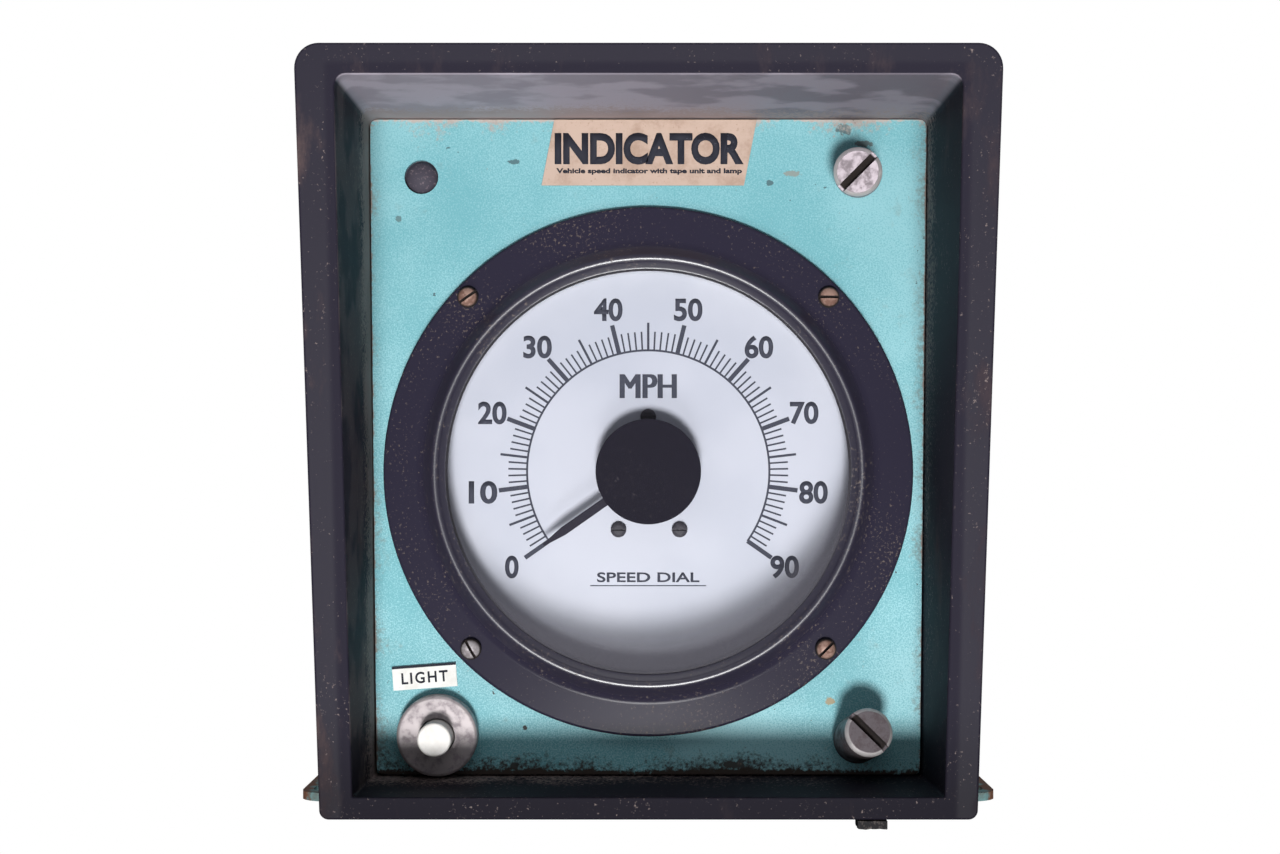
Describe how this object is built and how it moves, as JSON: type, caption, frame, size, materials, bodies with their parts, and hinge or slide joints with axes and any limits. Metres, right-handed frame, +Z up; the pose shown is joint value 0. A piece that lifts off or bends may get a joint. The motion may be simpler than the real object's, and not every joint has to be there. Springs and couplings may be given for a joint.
{
  "type": "cab speed indicator",
  "caption": "Round backlit dial speed indicator with tape recorder on a draw-out chassis, in a steel case with raked glare hood and slotted base.",
  "frame": {"origin": "centre of the base plate's underside", "axes": "+Z up, -Y out of the dial towards the reader, +X to the reader's right"},
  "size_m": [0.2044, 0.2728, 0.2065],
  "materials": {
    "hood_paint": "thick satin blue-black enamel, dusty and scuffed",
    "bezel_paint": "satin black enamel over spun steel",
    "hammertone_paint": "teal hammertone enamel with chips and rust specks",
    "rubber": "worn matt black rubber",
    "zinc": "zinc-plated steel, slightly dulled",
    "bare_steel": "bare turned steel, tarnished",
    "rusty_steel": "steel screw with brown rust",
    "aluminium": "mill-finish aluminium",
    "brass": "turned brass",
    "copper_winding": "copper winding wire on a brass spool",
    "glass": "flat clear glass with a dust film",
    "opal_dial": "milky blue-white translucent acrylic with printed scale",
    "black_plastic": "black moulded plastic",
    "white_plastic": "white moulded plastic",
    "cream_label": "aged cream laminated label",
    "white_label": "white tape label",
    "laminate": "green glass-fibre laminate",
    "tape": "brown magnetic tape wound on a reel"
  },
  "bodies": {
    "root": {"case_shell": "hammertone_paint", "rear_cover": "hammertone_paint", "rear_cover_screw_1": "zinc", "rear_cover_screw_2": "zinc", "rear_cover_screw_3": "zinc", "rear_cover_screw_4": "zinc", "glare_hood": "hood_paint", "hood_bumper": "rubber", "base_plate": "hammertone_paint", "guide_rail_left": "zinc", "guide_rail_right": "zinc", "rear_connector": "zinc", "backplane_socket": "black_plastic", "panel_nut_upper": "zinc", "panel_nut_lower": "zinc"},
    "chassis": {"front_panel": "hammertone_paint", "bezel_ring": "bezel_paint", "bezel_screw_1": "rusty_steel", "bezel_screw_2": "rusty_steel", "bezel_screw_3": "bare_steel", "bezel_screw_4": "rusty_steel", "dial_glass": "glass", "hub_cover": "black_plastic", "dial_plate": "opal_dial", "dial_screw_1": "bare_steel", "dial_screw_2": "bare_steel", "dial_screw_3": "bare_steel", "meter_can": "zinc", "movement_yoke": "bare_steel", "movement_bridge": "aluminium", "lamp_left": "brass", "lamp_right": "brass", "switch_bezel": "bare_steel", "switch_body": "black_plastic", "blanking_plug": "black_plastic", "name_label": "cream_label", "light_label": "white_label", "chassis_tray": "zinc", "deck_plate": "aluminium", "drive_motor": "zinc", "drive_belt": "rubber", "record_head": "bare_steel", "circuit_board": "laminate", "backplane_plug": "black_plastic"},
    "pointer": {"pointer": "black_plastic", "moving_coil": "copper_winding"},
    "light_button": {"switch_button": "white_plastic"},
    "upper_ring": {"upper_retaining_ring": "zinc"},
    "upper_screw": {"upper_captive_screw": "bare_steel"},
    "lower_ring": {"lower_retaining_ring": "zinc"},
    "lower_screw": {"lower_captive_screw": "bare_steel"},
    "flywheel": {"flywheel": "brass"},
    "motor_pulley": {"motor_pulley": "brass"},
    "supply_spindle": {"supply_spindle": "white_plastic"},
    "takeup_spindle": {"takeup_spindle": "white_plastic"},
    "pinch_arm": {"pinch_arm": "zinc"},
    "pinch_roller": {"pinch_roller": "rubber"},
    "cartridge": {"cartridge_shell": "black_plastic"},
    "supply_reel": {"supply_reel": "tape"},
    "takeup_reel": {"takeup_reel": "tape"}
  },
  "joints": [
    {"name": "chassis_slide", "type": "slide", "parent": "root", "child": "chassis", "axis": [0, -1, 0], "range_m": [0, 0.14]},
    {"name": "pointer_swing", "type": "hinge", "parent": "chassis", "child": "pointer", "pos_m": [0, -0.097, 0.0965], "axis": [0, 1, 0], "range_deg": [0, 250], "stiffness_Nm_per_rad": 0.001},
    {"name": "light_button_press", "type": "slide", "parent": "chassis", "child": "light_button", "axis": [0, 1, 0], "range_m": [0, 0.0025], "stiffness_N_per_m": 300},
    {"name": "upper_screw_draw", "type": "slide", "parent": "chassis", "child": "upper_ring", "axis": [-0.098, -0.9903, -0.098], "range_m": [0, 0.003]},
    {"name": "upper_screw_turn", "type": "hinge", "parent": "upper_ring", "child": "upper_screw", "pos_m": [0.0605, -0.097, 0.1824], "axis": [-0.098, -0.9903, -0.098], "continuous": true},
    {"name": "lower_screw_draw", "type": "slide", "parent": "chassis", "child": "lower_ring", "axis": [0.12, -0.9608, 0.25], "range_m": [-0.0008, 0.0005]},
    {"name": "lower_screw_turn", "type": "hinge", "parent": "lower_ring", "child": "lower_screw", "pos_m": [0.0594, -0.097, 0.0187], "axis": [0.12, -0.9608, 0.25], "continuous": true},
    {"name": "flywheel_spin", "type": "hinge", "parent": "chassis", "child": "flywheel", "pos_m": [0, -0.001, 0.132], "axis": [1, 0, 0], "continuous": true},
    {"name": "motor_spin", "type": "hinge", "parent": "chassis", "child": "motor_pulley", "pos_m": [0, 0.03, 0.036], "axis": [1, 0, 0], "continuous": true},
    {"name": "supply_spindle_spin", "type": "hinge", "parent": "chassis", "child": "supply_spindle", "pos_m": [0, 0.025, 0.08875], "axis": [1, 0, 0], "continuous": true},
    {"name": "takeup_spindle_spin", "type": "hinge", "parent": "chassis", "child": "takeup_spindle", "pos_m": [0, 0.025, 0.13125], "axis": [1, 0, 0], "continuous": true},
    {"name": "pinch_arm_swing", "type": "hinge", "parent": "chassis", "child": "pinch_arm", "pos_m": [0, -0.016, 0.152], "axis": [1, 0, 0], "range_deg": [-12, 0]},
    {"name": "pinch_roller_spin", "type": "hinge", "parent": "pinch_arm", "child": "pinch_roller", "pos_m": [0, -0.00755, 0.132], "axis": [1, 0, 0], "continuous": true},
    {"name": "cartridge_slide", "type": "slide", "parent": "chassis", "child": "cartridge", "axis": [1, 0, 0], "range_m": [0, 0.02]},
    {"name": "supply_reel_spin", "type": "hinge", "parent": "cartridge", "child": "supply_reel", "pos_m": [0, 0.025, 0.08875], "axis": [1, 0, 0], "continuous": true},
    {"name": "takeup_reel_spin", "type": "hinge", "parent": "cartridge", "child": "takeup_reel", "pos_m": [0, 0.025, 0.13125], "axis": [1, 0, 0], "continuous": true}
  ],
  "couplings": [
    {"joint": "motor_spin", "follows": "flywheel_spin", "ratio": 4.4},
    {"joint": "supply_spindle_spin", "follows": "flywheel_spin", "ratio": 0.0625},
    {"joint": "takeup_spindle_spin", "follows": "flywheel_spin", "ratio": 0.09615},
    {"joint": "supply_reel_spin", "follows": "flywheel_spin", "ratio": 0.0625},
    {"joint": "takeup_reel_spin", "follows": "flywheel_spin", "ratio": 0.09615},
    {"joint": "pinch_roller_spin", "follows": "flywheel_spin", "ratio": -0.25}
  ]
}
